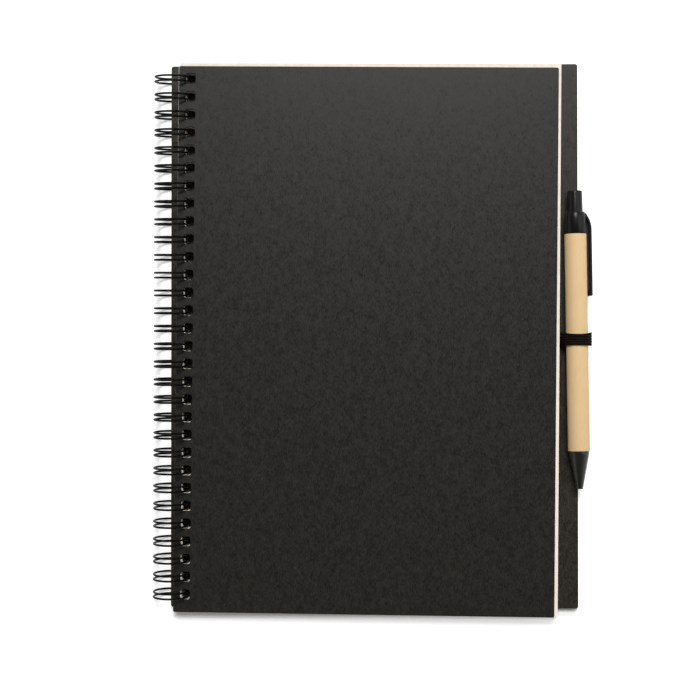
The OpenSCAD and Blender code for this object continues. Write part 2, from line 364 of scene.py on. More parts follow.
@dataclass(frozen=True)
class BraidedElastic(Finish):
    """Braided elastic: polyester yarn over rubber cores, which stand out as ribs under slanting stitches."""

    base: str = "#020202"
    # The pale colour is a painted highlight on the rib tops; the pattern's low parts, in the base black, are
    # painted shade in the grooves and stitch gaps.
    pale: str = "#3a3025"
    # A cell holds about two slanting bands or three straight ones, which gives stitches of 0.22 mm
    # and ribs of 1.1 mm.
    stitch_mm: float = 0.5
    rib_mm: float = 3.5

    def surface(self, tree: bpy.types.NodeTree) -> bpy.types.Node:
        """Black yarn with painted light: paler on the rib tops as a painted highlight, darker in the grooves
        and between the stitches as painted shade.

        Args:
            tree: the node tree of the material.

        Returns:
            The surface's shader node.
        """
        stitch = self.pattern(tree, "ShaderNodeTexWave", (self.stitch_mm,) * 3, wave_type="BANDS",
                              bands_direction="DIAGONAL", Distortion=1.5, Detail=1.0)
        rib = self.pattern(tree, "ShaderNodeTexWave", (self.rib_mm,) * 3, wave_type="BANDS",
                           bands_direction="Y")
        yarn = add_node(tree, "ShaderNodeMapRange", {"To Min": 0.55, "To Max": 1.0},
                        {"Value": stitch.outputs["Fac"]})
        painted_rib_shade = add_node(tree, "ShaderNodeMath", {"operation": "MULTIPLY"},
                         {0: rib.outputs["Fac"], 1: yarn.outputs[0]})
        # Painted light: pale on the rib tops as a painted highlight, black in the grooves and between the
        # stitches as painted shade.
        colour = add_node(tree, "ShaderNodeValToRGB", {"stops": [(0.5, self.base), (1.0, self.pale)]},
                          {0: painted_rib_shade.outputs[0]})
        bump = add_node(tree, "ShaderNodeBump", {"Strength": 0.5, "Distance": 0.08 * MM},
                        {"Height": stitch.outputs["Fac"]})
        return add_node(tree, "ShaderNodeBsdfPrincipled", {"Roughness": 0.7, "IOR": 1.12},
                        {"Base Color": colour.outputs[0], "Normal": bump.outputs[0]})


@dataclass(frozen=True)
class MilkyTube(Finish):
    """Extruded polypropylene refill tube: milky and slightly glossy."""

    base: str = "#dcd9d0"
    inky: str = "#c4c3c4"
    cloud_mm: tuple[float, float, float] = (3.0, 8.0, 3.0)

    def surface(self, tree: bpy.types.NodeTree) -> bpy.types.Node:
        """Milky white with the ink's shadow inside.

        Args:
            tree: the node tree of the material.

        Returns:
            The surface's shader node.
        """
        cloud = self.pattern(tree, "ShaderNodeTexNoise", self.cloud_mm, Detail=2.0)
        colour = add_node(tree, "ShaderNodeValToRGB", {"stops": [(0.3, self.inky), (0.7, self.base)]},
                          {0: cloud.outputs["Fac"]})
        return add_node(tree, "ShaderNodeBsdfPrincipled", {"Roughness": 0.35, "IOR": 1.49},
                        {"Base Color": colour.outputs[0]})


@dataclass(frozen=True)
class TurnedMetal(Finish):
    """Machined metal with fine turning marks."""

    base: str = "#b39458"
    mark: str = "#a98a50"
    # Turning marks are about 0.02 mm apart, too fine to show, so they are drawn this coarse.
    mark_mm: float = 0.08
    lap_mm: float = 4.0
    roughness: float = 0.25

    def surface(self, tree: bpy.types.NodeTree) -> bpy.types.Node:
        """Metal with rings too fine to see one by one.

        Args:
            tree: the node tree of the material.

        Returns:
            The surface's shader node.
        """
        marks = self.pattern(tree, "ShaderNodeTexNoise", (self.lap_mm, self.mark_mm, self.lap_mm), Detail=1.0)
        bump = add_node(tree, "ShaderNodeBump", {"Strength": 0.2, "Distance": 0.01 * MM},
                        {"Height": marks.outputs["Fac"]})
        colour = add_node(tree, "ShaderNodeValToRGB", {"stops": [(0.2, self.mark), (0.8, self.base)]},
                          {0: marks.outputs["Fac"]})
        return add_node(tree, "ShaderNodeBsdfPrincipled", {"Metallic": 1.0, "Roughness": self.roughness},
                        {"Base Color": colour.outputs[0], "Normal": bump.outputs[0]})


@dataclass(frozen=True)
class StudioPaper(Finish):
    """Seamless white studio paper: white to the camera and in reflections, with the object's soft shadow, and
    a painted shadow where its own light fades out under the notebook and below its bottom edge.
    """

    middle: tuple[float, float, float] = (0.0, 0.0, 0.0)
    half: tuple[float, float, float] = (0.0, 0.0, 0.0)
    white: str = "#f4f4f4"
    lift: float = 0.42
    # Over this band below the notebook the paper's own light fades out: a painted shadow.
    painted_shadow_fade_mm: tuple[float, float] = (1.2, 3.4)

    def surface(self, tree: bpy.types.NodeTree) -> bpy.types.Node:
        """White paper, with a little light of its own for the camera, for reflections and through glass,
        which fades out near the notebook as a painted shadow.

        Args:
            tree: the node tree of the material.

        Returns:
            The surface's shader node.
        """
        glow = add_node(tree, "ShaderNodeMath", {"operation": "MULTIPLY"},
                        {0: sees_set(tree), 1: self.beside(tree)})
        paper = add_node(tree, "ShaderNodeBsdfDiffuse", {"Color": linear(self.white)})
        light = add_node(tree, "ShaderNodeEmission", {"Color": (1, 1, 1, 1)}, {"Strength": glow.outputs[0]})
        return add_node(tree, "ShaderNodeAddShader", links={0: paper.outputs[0], 1: light.outputs[0]})

    def beside(self, tree: bpy.types.NodeTree) -> bpy.types.NodeSocket:
        """Give the paper's own light beside the object, which fades to none under it: a painted shadow under
        the notebook, seen through its holes, and in a band below its bottom edge.

        Args:
            tree: the node tree of the material.

        Returns:
            The socket with the light's strength.
        """
        place = add_node(tree, "ShaderNodeTexCoord")
        away = add_node(tree, "ShaderNodeVectorMath", {"operation": "SUBTRACT", 1: self.middle},
                        {0: place.outputs["Object"]})
        length = add_node(tree, "ShaderNodeVectorMath", {"operation": "ABSOLUTE"}, {0: away.outputs[0]})
        past = add_node(tree, "ShaderNodeVectorMath", {"operation": "SUBTRACT", 1: self.half},
                        {0: length.outputs[0]})
        parts = add_node(tree, "ShaderNodeSeparateXYZ", links={0: past.outputs[0]})
        gap = add_node(tree, "ShaderNodeMath", {"operation": "MAXIMUM"},
                       {0: parts.outputs["X"], 1: parts.outputs["Y"]})
        near, far = (edge * MM for edge in self.painted_shadow_fade_mm)
        painted_shadow_fade = add_node(tree, "ShaderNodeMapRange",
                        {"From Min": near, "From Max": far, "To Min": 0.0, "To Max": self.lift},
                        {"Value": gap.outputs[0]})
        return painted_shadow_fade.outputs[0]


# Dyed board: dry, mottled and a little warm, with a wide soft sheen. The back board is painted paler and
# warmer than the front: painted light, standing in for the extra light it catches from the white set around
# it.
BACK_BOARD = CoverBoard("charcoal_back_board", "cover_board_back", dark="#181510", pale="#2e2921")
FRONT_BOARD = CoverBoard("charcoal_front_board", "cover_board_front")
# Uncoated paper: matte cream that shows as a warm line of leaf edges beside the dark boards.
PAPER = WritingPaper("cream_writing_paper", "paper")
# Nylon over steel: near black, so the loops show as dark lines on the white paper, with thin highlights.
WIRE_COAT = NylonCoat("black_nylon_coat", "coated_wire")
# Woven yarn: a dull black band with fine ribs along it, drawn with a painted highlight on the rib tops and
# painted shade in the grooves.
ELASTIC = BraidedElastic("black_braided_elastic", "elastic_band")
# Bare kraft: a warm matte tan, the one strong colour of the object.
KRAFT = KraftPaper("wound_kraft_paper", "kraft_barrel")
# Moulded ABS: black with a soft satin highlight, which is strongest on the nose cone.
HOUSING_ABS = MouldedPlastic("black_moulded_housing", "housing_plastic")
# The nose is painted a touch paler and warmer than the housing: a painted warm reflection.
NOSE_ABS = MouldedPlastic("black_moulded_nose", "nose_plastic", base="#090807", pale="#0f0d0a", ior=1.5)
BUTTON_ABS = MouldedPlastic("black_moulded_button", "button_plastic", base="#090808", pale="#0e0d0c")
# Extruded polypropylene: milky, with the ink's darker tone inside.
REFILL = MilkyTube("milky_refill_tube", "refill_plastic")
# Bare metal: a small bright point when the pen is pressed out, and the spring inside the nose.
BRASS = TurnedMetal("turned_brass", "point_brass")
SPRING_STEEL = TurnedMetal("drawn_spring_steel", "spring_steel", base="#b8b8b8", mark="#a9a9a9",
                           roughness=0.3)


def clear_selection() -> None:
    """Leave edit mode and deselect every object."""
    if bpy.context.object and bpy.context.object.mode != "OBJECT":
        bpy.ops.object.mode_set(mode="OBJECT")
    bpy.ops.object.select_all(action="DESELECT")


def pick(piece: bpy.types.Object) -> None:
    """Make a piece the only selected and the active one.

    Args:
        piece: the piece.
    """
    clear_selection()
    piece.select_set(True)
    bpy.context.view_layer.objects.active = piece


def join(pieces: list[bpy.types.Object], name: str) -> bpy.types.Object:
    """Join pieces into one object with a name.

    Args:
        pieces: the pieces, of which the first takes in the others.
        name: name of the joined object.

    Returns:
        The joined object.
    """
    clear_selection()
    for piece in pieces:
        piece.select_set(True)
    bpy.context.view_layer.objects.active = pieces[0]
    bpy.ops.object.join()
    bpy.context.object.name = name
    return bpy.context.object


def copy_to(source: bpy.types.Object, place: Matrix) -> bpy.types.Object:
    """Copy a piece with a mesh of its own, and put the copy's mesh at a place.

    Args:
        source: the piece to copy.
        place: where the copy's mesh goes.

    Returns:
        The copy.
    """
    copy = bpy.data.objects.new(f"{source.name}_copy", source.data.copy())
    copy.data.transform(place)
    bpy.context.scene.collection.objects.link(copy)
    return copy


def apply_modifier(piece: bpy.types.Object, kind: str, **settings: Any) -> None:
    """Add a modifier with its settings and apply it at once.

    Args:
        piece: the object it is for.
        kind: the modifier's type.
        settings: the modifier's properties.
    """
    pick(piece)
    modifier = piece.modifiers.new(kind.lower(), kind)
    for name, value in settings.items():
        setattr(modifier, name, value)
    bpy.ops.object.modifier_apply(modifier=modifier.name)


def rounded_slab(size: tuple[float, float, float], corner: float, corner_steps: int,
                 middle: Vector) -> bpy.types.Object:
    """Make a flat block with rounded corners.

    Args:
        size: its length across, its length along and its thickness.
        corner: how far the rounding of its corners reaches.
        corner_steps: number of stretches in each corner.
        middle: middle of its lower face.

    Returns:
        The block, in object mode.
    """
    clear_selection()
    bpy.ops.mesh.primitive_plane_add(size=1)
    block = bpy.context.object
    block.scale = (size[0], size[1], 1)
    block.location = middle
    bpy.ops.object.transform_apply(location=True, rotation=True, scale=True)
    bpy.ops.object.mode_set(mode="EDIT")
    bpy.ops.mesh.select_all(action="SELECT")
    bpy.ops.mesh.bevel(affect="VERTICES", offset_type="OFFSET", offset=corner, segments=corner_steps)
    bpy.ops.mesh.select_all(action="SELECT")
    bpy.ops.mesh.extrude_region_move(TRANSFORM_OT_translate={"value": (0, 0, size[2])})
    bpy.ops.mesh.select_all(action="SELECT")
    bpy.ops.mesh.normals_make_consistent(inside=False)
    bpy.ops.object.mode_set(mode="OBJECT")
    return block


def finish_piece(piece: bpy.types.Object, body: Body, finish: Finish, nodes: tuple[str, ...],
                 smooth: float = 40.0) -> None:
    """Give a piece its finish and its place in the model.

    Args:
        piece: the piece, in place.
        body: the body that it rides on.
        finish: its surface.
        nodes: the model's nodes that it stands for.
        smooth: edges sharper than this many degrees stay crisp.
    """
    pick(piece)
    bpy.ops.object.transform_apply(location=True, rotation=True, scale=True)
    bpy.ops.object.mode_set(mode="EDIT")
    bpy.ops.mesh.select_all(action="SELECT")
    bpy.ops.mesh.remove_doubles(threshold=WELD_GAP)
    bpy.ops.mesh.normals_make_consistent(inside=False)
    bpy.ops.object.mode_set(mode="OBJECT")
    bpy.ops.object.shade_smooth_by_angle(angle=math.radians(smooth))
    piece.data.materials.clear()
    piece.data.materials.append(finish.material())
    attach(piece, body.value)
    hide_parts(*nodes)
    LOG.info("%s: %d faces, rides on %s", piece.name, len(piece.data.polygons), body.value)


def dress_node(node: str, finish: Finish) -> None:
    """Give a node of the model a finish in every slot.

    Args:
        node: the node's name.
        finish: its surface.
    """
    solid = frame["nodes"][node]
    solid.data.materials.clear()
    solid.data.materials.append(finish.material())
    LOG.info("%s: finished as %s", node, finish.name)


class Sweep:
    """A section that is drawn once and carried along a route, as a bender carries wire or tape."""

    def __init__(self, name: str, start: Vector, heading: Vector, sides: int, radius: float,
                 shape: Optional[Callable[[float], tuple[float, float]]] = None,
                 up: Vector = Dir.UP.value) -> None:
        """Add the section as a circle of edges, square to the heading.

        Args:
            name: name of the new object.
            start: middle of the first section.
            heading: direction that the route starts in.
            sides: number of points of the section.
            radius: radius of the section.
            shape: gives a point's place across and up for its turn from 0 to 1, if the section
                isn't round.
            up: direction that the section's up points in.
        """
        clear_selection()
        bpy.ops.mesh.primitive_circle_add(vertices=sides, radius=radius, fill_type="NGON")
        self.piece = bpy.context.object
        self.piece.name = name
        self.at = start.copy()
        self.heading = heading.normalized()
        across = up.cross(self.heading).normalized()
        lift = self.heading.cross(across)
        for index, vertex in enumerate(self.piece.data.vertices):
            side, height = shape(index / sides) if shape else (vertex.co.x, vertex.co.y)
            vertex.co = start + across * side + lift * height
        bpy.ops.object.mode_set(mode="EDIT")
        bpy.ops.mesh.select_all(action="SELECT")

    def straight(self, length: float) -> "Sweep":
        """Carry the section straight on by a length.

        Args:
            length: how far it goes.

        Returns:
            The sweep itself.
        """
        move = self.heading * length
        bpy.ops.mesh.extrude_region_move(TRANSFORM_OT_translate={"value": move})
        self.at += move
        return self

    def bend(self, axis: Vector, centre: Vector, degrees: float, steps: int) -> "Sweep":
        """Carry the section round a bend.

        Args:
            axis: direction of the bend's axis.
            centre: a point on that axis.
            degrees: the turn, right-handed about the axis.
            steps: number of stretches in the bend.

        Returns:
            The sweep itself.
        """
        angle = math.radians(degrees)
        bpy.ops.mesh.spin(steps=steps, angle=-angle, center=centre, axis=axis)
        turn = Matrix.Rotation(angle, 3, axis)
        self.at = centre + turn @ (self.at - centre)
        self.heading = turn @ self.heading
        return self

    def turn(self, axis: Vector, radius: float, degrees: float, steps: int) -> "Sweep":
        """Bend by a radius, with the centre beside the route.

        Args:
            axis: direction of the bend's axis.
            radius: radius of the bend.
            degrees: the turn, right-handed about the axis.
            steps: number of stretches in the bend.

        Returns:
            The sweep itself.
        """
        side = axis.normalized().cross(self.heading) * math.copysign(radius, degrees)
        return self.bend(axis, self.at + side, degrees, steps)

    def done(self) -> bpy.types.Object:
        """Leave edit mode and hand over the object."""
        bpy.ops.object.mode_set(mode="OBJECT")
        return self.piece


class Lathe:
    """A ring that is extruded and scaled step by step, for turned pieces on the Z axis."""

    def __init__(self, name: str, radius: float, height: float, filled: bool = False,
                 sides: int = 64) -> None:
        """Add the first ring.

        Args:
            name: name of the new object.
            radius: radius of the first ring.
            height: its height.
            filled: start from a disc, which makes a piece that is closed at both ends.
            sides: number of points round it.
        """
        clear_selection()
        fill = "NGON" if filled else "NOTHING"
        bpy.ops.mesh.primitive_circle_add(vertices=sides, radius=radius, fill_type=fill,
                                          location=(0, 0, height))
        bpy.ops.object.transform_apply(location=True)
        self.piece = bpy.context.object
        self.piece.name = name
        self.radius = radius
        self.height = height
        bpy.ops.object.mode_set(mode="EDIT")
        bpy.ops.mesh.select_all(action="SELECT")

    def ring(self, radius: float, height: float) -> "Lathe":
        """Extrude the last ring to a new radius and height.

        Args:
            radius: the new ring's radius.
            height: its height.

        Returns:
            The lathe itself.
        """
        bpy.ops.mesh.extrude_region_move(TRANSFORM_OT_translate={"value": (0, 0, height - self.height)})
        scale = radius / self.radius
        bpy.ops.transform.resize(value=(scale, scale, 1), center_override=(0, 0, height))
        self.radius, self.height = radius, height
        return self

    def round(self, radius: float, height: float, along_first: bool, steps: int) -> "Lathe":
        """Extrude to a new radius and height through a quarter round.

        Args:
            radius: radius at the end.
            height: height at the end.
            along_first: start along the axis, instead of across it.
            steps: number of stretches.

        Returns:
            The lathe itself.
        """
        from_radius, from_height = self.radius, self.height
        for step in range(1, steps + 1):
            turn = math.pi / 2 * step / steps
            first, last = math.sin(turn), 1 - math.cos(turn)
            inward, onward = (last, first) if along_first else (first, last)
            self.ring(from_radius + (radius - from_radius) * inward,
                      from_height + (height - from_height) * onward)
        return self

    def done(self) -> bpy.types.Object:
        """Leave edit mode and hand over the object."""
        bpy.ops.object.mode_set(mode="OBJECT")
        return self.piece


@dataclass
class Binding:
    """The twin-loop wire: one wire bent into a comb and rolled round, with a tooth for each punched hole."""

    teeth: int = 30
    pitch: float = 8.467 * MM
    ring_radius: float = 8.0 * MM
    wire_radius: float = 0.5 * MM
    twin_gap: float = 2.3 * MM
    lean: float = 0.9 * MM
    skew: float = 0.2
    sag: tuple[float, float, float] = (0.48 * MM, 0.31 * MM, -0.575 * MM)
    spine_degrees: float = -87.5
    bend_radius: float = 1.0 * MM
    tip_clear: float = 0.6 * MM
    sides: int = 12
    arc_steps: int = 44
    tip_steps: int = 10
    bend_steps: int = 5
    axis: Vector = field(default_factory=Vector)

    def __post_init__(self) -> None:
        """Take the loops' axis from the joint that the pages turn on."""
        joint = next(j for j in frame["joints"] if j["name"] == "page_turn")
        self.axis = Vector(joint["pos_m"])

    def tooth_span(self) -> float:
        """Length of the row of teeth along the binding."""
        return (self.teeth - 1) * self.pitch + self.twin_gap + 2 * self.wire_radius

    def rows(self) -> list[float]:
        """Place the teeth along the binding: the row sags a little between its ends.

        Returns:
            Each tooth's distance from the middle of the binding.
        """
        half = (self.teeth - 1) / 2
        shares = [(index - half) / half for index in range(self.teeth)]
        level, slope, bow = self.sag
        return [share * half * self.pitch - level - slope * share - bow * share ** 2 for share in shares]

    def edge_x(self, height: float, side: int) -> float:
        """Distance from the axis to the wire's outer (side 1) or inner (side -1) edge at a height."""
        return math.sqrt((self.ring_radius + side * self.wire_radius) ** 2 - (height - self.axis.z) ** 2)

    def skew_room(self, skew: float) -> float:
        """Room that a punched row needs beside the wire at its ends, when it is turned by an angle."""
        return self.tooth_span() / 2 * math.sin(math.radians(skew - self.skew))

    def radial(self, degrees: float) -> Vector:
        """Direction from the axis to the loops at an angle above the right side."""
        return Vector((math.cos(math.radians(degrees)), 0, math.sin(math.radians(degrees))))

    def tooth(self, with_spine: bool) -> bpy.types.Object:
        """Bend one tooth round the Y axis.

        Args:
            with_spine: whether the stretch that leads to the next tooth follows.

        Returns:
            The tooth's object.
        """
        along, middle, half = Dir.ALONG.value, Vector(), self.twin_gap / 2
        first = self.spine_degrees + math.degrees(self.bend_radius / self.ring_radius)
        last = self.spine_degrees + 360 + math.degrees(
            (self.bend_radius - self.tip_clear - 2 * self.wire_radius - half) / self.ring_radius)
        start = self.radial(first) * self.ring_radius - along * half
        heading = Vector((-self.radial(first).z, 0, self.radial(first).x))
        route = Sweep("tooth", start, heading, self.sides, self.wire_radius, up=along)
        route.bend(-along, middle, last - first, self.arc_steps)
        route.bend(self.radial(last), self.radial(last) * self.ring_radius, -180, self.tip_steps)
        route.bend(-along, middle, first - last, self.arc_steps)
        if with_spine:
            route.turn(self.radial(first), self.bend_radius, 90, self.bend_steps)
            route.straight(self.pitch - self.twin_gap - 2 * self.bend_radius)
            route.turn(self.radial(first), self.bend_radius, 90, self.bend_steps)
        return route.done()

    def build(self) -> None:
        """Copy the tooth along the binding, join the copies, lean the loops and lay the wire in place."""
        plain, end = self.tooth(True), self.tooth(False)
        rows = self.rows()
        copies = [copy_to(end if row == rows[-1] else plain, Matrix.Translation(Dir.ALONG.value * row))
                  for row in rows]
        for source in (plain, end):
            bpy.data.objects.remove(source)
        wire = join(copies, "twin_loop_wire")
        self.clean_joints(wire)
        for vertex in wire.data.vertices:
            vertex.co.y -= self.lean * vertex.co.z / (2 * self.ring_radius)
        turn = Matrix.Rotation(math.radians(-self.skew), 4, "Z")
        wire.data.transform(Matrix.Translation(self.axis) @ turn)
        finish_piece(wire, Body.BASE, WIRE_COAT, ("binding_wire",), smooth=60)

    def clean_joints(self, wire: bpy.types.Object) -> None:
        """Take out the section faces inside the wire where one tooth runs into the next.

        Args:
            wire: the joined teeth.
        """
        pick(wire)
        bpy.ops.object.mode_set(mode="EDIT")
        bpy.ops.mesh.select_all(action="SELECT")
        bpy.ops.mesh.remove_doubles(threshold=JOINT_GAP)
        mesh = bmesh.from_edit_mesh(wire.data)
        inner = [face for face in mesh.faces
                 if len(face.verts) == self.sides and all(len(edge.link_faces) > 2 for edge in face.edges)]
        bmesh.ops.delete(mesh, geom=inner, context="FACES_ONLY")
        bmesh.update_edit_mesh(wire.data)
        bpy.ops.object.mode_set(mode="OBJECT")


@dataclass
class Punch:
    """The row of punches that cuts the holes: blunt-cornered rectangles, one for each tooth."""

    length: float = 4.6 * MM
    width: float = 4.7 * MM
    corner: float = 1.1 * MM
    corner_steps: int = 3
    foot: float = -2 * MM
    travel: float = 6 * MM

    def cutter(self, binding: Binding) -> bpy.types.Object:
        """Make the row of punches, centred on the origin.

        Args:
            binding: the wire that the holes are for.

        Returns:
            One object with a blunt-cornered block for each hole.
        """
        block = rounded_slab((self.length, self.width, self.travel), self.corner, self.corner_steps,
                             Vector((0, 0, self.foot)))
        blocks = [copy_to(block, Matrix.Translation(Dir.ALONG.value * row)) for row in binding.rows()]
        bpy.data.objects.remove(block)
        return join(blocks, "punches")

    def press(self, piece: bpy.types.Object, binding: Binding) -> None:
        """Punch a sheet or a board whose hole row lies on the Y axis.

        Args:
            piece: the blank, at the height of the table.
            binding: the wire that the holes are for.
        """
        cutter = self.cutter(binding)
        apply_modifier(piece, "BOOLEAN", operation="DIFFERENCE", solver="EXACT", object=cutter)
        bpy.data.objects.remove(cutter)


@dataclass
class Blank:
    """A rectangle of paper or board, cut to size with its hole row on the Y axis."""

    width: float
    height: float
    thickness: float
    edge_to_hole: float
    corner: float = 0.4 * MM
    rise: float = 0.0
    corner_steps: int = 3

    def cut(self, punch: Punch, binding: Binding) -> bpy.types.Object:
        """Cut, round and punch the blank.

        Args:
            punch: the punches for its holes.
            binding: the wire that the holes are for.

        Returns:
            The blank, lying at height 0.
        """
        left = -punch.length / 2 - self.edge_to_hole
        piece = rounded_slab((self.width, self.height, self.thickness), self.corner, self.corner_steps,
                             Vector((left + self.width / 2, self.rise, 0)))
        punch.press(piece, binding)
        return piece


@dataclass
class Sheets:
    """The block of punched sheets, each one a leaf of its own that lies a little out of line."""

    blank: Blank = field(default_factory=lambda: Blank(
        width=180.8 * MM, height=260.6 * MM, thickness=0.085 * MM, edge_to_hole=2.67 * MM, rise=-0.35 * MM))
    punch: Punch = field(default_factory=lambda: Punch(length=5.4 * MM, width=5.1 * MM))
    top_edge: float = 5.9 * MM
    hole_play: float = 0.15 * MM
    hole_rise: float = 0.35 * MM
    skew: float = 0.59
    leaf_pitch: float = 0.1 * MM
    drift: float = 0.08 * MM
    seed: int = 7

    def hole_x(self, binding: Binding, height: float) -> float:
        """Place of the holes' middle: the lower leaves hang against the inside of the wire.

        Args:
            binding: the wire that they hang on.
            height: height of the leaf above the table.

        Returns:
            Distance from the loops' axis.
        """
        inner = binding.edge_x(min(height, binding.axis.z), -1)
        edge = min(self.top_edge, inner - binding.skew_room(self.skew) - self.hole_play)
        return edge + self.punch.length / 2

    def build(self, binding: Binding) -> None:
        """Stack the leaves on the wire, each shifted to where the loops pass its height.

        Args:
            binding: the wire that they hang on.
        """
        low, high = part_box("page_block")
        chance = random.Random(self.seed)
        leaf = self.blank.cut(self.punch, binding)
        count = round((high.z - low.z) / self.leaf_pitch)
        leaves = []
        for index in range(count):
            z = low.z + index * (high.z - low.z) / count
            hole = self.hole_x(binding, z + self.leaf_pitch / 2)
            slip = self.hole_rise + chance.uniform(-1, 1) * self.drift
            drift = Vector((hole + chance.uniform(-1, 1) * self.drift, slip, 0))
            place = Matrix.Translation(Vector((binding.axis.x, binding.axis.y, z)))
            turn = Matrix.Rotation(math.radians(-self.skew), 4, "Z")
            leaves.append(copy_to(leaf, place @ turn @ Matrix.Translation(drift)))
        bpy.data.objects.remove(leaf)
        finish_piece(join(leaves, "stacked_sheets"), Body.PAGES, PAPER, ("page_block",), smooth=30)


@dataclass
class Cover:
    """A cover board: punched, with edges that the guillotine left slightly crushed."""

    name: str
    node: str
    body: Body
    finish: Finish
    blank: Blank
    skew: float
    hole_x: float
    soft_edge: float = 0.22 * MM
    sharp_degrees: float = 60.0

    def build(self, binding: Binding, punch: Punch) -> None:
        """Cut the board, soften its edges and lay it on the wire.

        Args:
            binding: the wire that it hangs on.
            punch: the punches for its holes.
        """
        board = self.blank.cut(punch, binding)
        apply_modifier(board, "BEVEL", width=self.soft_edge, segments=2, limit_method="ANGLE",
                       angle_limit=math.radians(self.sharp_degrees), harden_normals=False)
        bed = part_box(self.node)[0].z
        place = Matrix.Translation(Vector((binding.axis.x + self.hole_x, binding.axis.y, bed)))
        board.data.transform(place @ Matrix.Rotation(math.radians(-self.skew), 4, "Z"))
        board.name = self.name
        finish_piece(board, self.body, self.finish, (self.node,), smooth=20)


def covers() -> list[Cover]:
    """Give the two cover boards their sizes and their places on the wire.

    Returns:
        The back cover and the front cover.
    """
    height, thick = 259.2 * MM, 1.5 * MM
    back = Blank(width=194.2 * MM, height=height, thickness=thick, edge_to_hole=3.322 * MM,
                 corner=1.1 * MM, rise=0.2 * MM)
    front = Blank(width=179.95 * MM, height=height, thickness=thick, edge_to_hole=3.23 * MM,
                  corner=0.8 * MM, rise=-1.15 * MM)
    return [Cover("back_board", "back_cover", Body.BASE, BACK_BOARD, back, skew=0.1, hole_x=4.752 * MM),
            Cover("front_board", "front_cover", Body.FRONT, FRONT_BOARD, front, skew=0.68,
                  hole_x=8.143 * MM)]


@dataclass
class PenLoop:
    """The elastic band that holds the pen: up through the back cover, over the pen and down again."""

    width: float = 5.5 * MM
    thickness: float = 0.85 * MM
    ribs: int = 5
    rib_relief: float = 0.24 * MM
    clear: float = 0.25 * MM
    slack: float = 0.7 * MM
    slot_clear: float = 0.15 * MM
    tail: float = 9.0 * MM
    short_tail: float = 6.3 * MM
    corner: float = 0.55 * MM
    waist: float = 0.96
    flare: float = 0.22
    lift: float = 0.35 * MM
    outline_points: int = 80
    edge_power: int = 8
    edge_share: float = 0.35
    face_share: float = 0.65
    corner_steps: int = 5
    leg_rise: float = 1.6
    lean_corner: float = 2.0
    lean_steps: int = 3
    lean_play: float = 0.2
    rise_steps: int = 10
    over_steps: int = 22

    def section(self, turn: float) -> tuple[float, float]:
        """Outline of the band: ribbed, with thinner edges.

        Args:
            turn: place round the outline, from 0 to 1.

        Returns:
            Place across the band and through it.
        """
        half, thick = self.width / 2, self.thickness / 2
        upper = turn < 0.5
        share = (turn if upper else turn - 0.5) * 2
        across = half * math.cos(math.pi * share) if upper else -half * math.cos(math.pi * share)
        side = math.sqrt(max(0.0, 1 - abs(across / half) ** self.edge_power))
        wave = math.cos(2 * math.pi * self.ribs * (across / self.width + 0.5))
        groove = self.rib_relief * (0.5 + 0.5 * wave)
        height = (thick - groove) * (self.edge_share + self.face_share * side)
        return across, height if upper else -height

    def build(self, pen: "Pen") -> None:
        """Lay the band from its left tail, over and round the pen, to its right tail.

        Args:
            pen: the pen that it holds.
        """
        along = Dir.ALONG.value
        low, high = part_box("elastic_loop")
        bed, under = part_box("back_cover")[1].z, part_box("back_cover")[0].z
        middle_y = (low.y + high.y) / 2
        centre = Vector((high.x - self.thickness - self.slack - self.clear - pen.barrel_radius,
                         middle_y, bed + self.thickness + self.clear + pen.barrel_radius))
        radius = pen.barrel_radius + self.clear + self.thickness / 2
        left = low.x + self.tail
        gap = self.thickness + self.slot_clear
        tail_z = under - self.slot_clear - self.thickness / 2
        start = Vector((low.x, middle_y, tail_z))
        band = Sweep("elastic_band", start, Dir.ACROSS.value, self.outline_points, self.width,
                     self.section)
        band.straight(left - low.x - self.corner)
        band.turn(-along, self.corner, 90, self.corner_steps)
        band.straight(bed + self.thickness * self.leg_rise - band.at.z)
        to_centre = Vector((centre.x - band.at.x, 0, centre.z - band.at.z))
        reach = math.sqrt(to_centre.length ** 2 - radius ** 2)
        lean = math.degrees(math.atan2(to_centre.x, to_centre.z)) - math.degrees(math.atan2(radius, reach))
        band.turn(along, self.corner * self.lean_corner, lean, self.lean_steps)
        band.straight(reach - self.corner * self.lean_play)
        band.bend(along, centre, 90 - lean, self.rise_steps)
        band.straight(self.slack)
        band.bend(along, centre + Vector((self.slack, 0, 0)), 180, self.over_steps)
        band.straight(band.at.x - (left + gap) - self.corner)
        band.turn(-along, self.corner, 90, self.corner_steps)
        band.straight(band.at.z - tail_z - self.corner)
        band.turn(-along, self.corner, 90, self.corner_steps)
        band.straight(self.short_tail - self.corner)
        piece = band.done()
        for vertex in piece.data.vertices:
            spread = min(1.0, abs(vertex.co.x - centre.x) / (radius + self.slack))
            wide = self.waist + self.flare * spread ** 3
            vertex.co.y = middle_y + (vertex.co.y - middle_y) * wide + self.lift * spread ** 3
        finish_piece(piece, Body.BASE, ELASTIC, ("elastic_loop",), smooth=50)


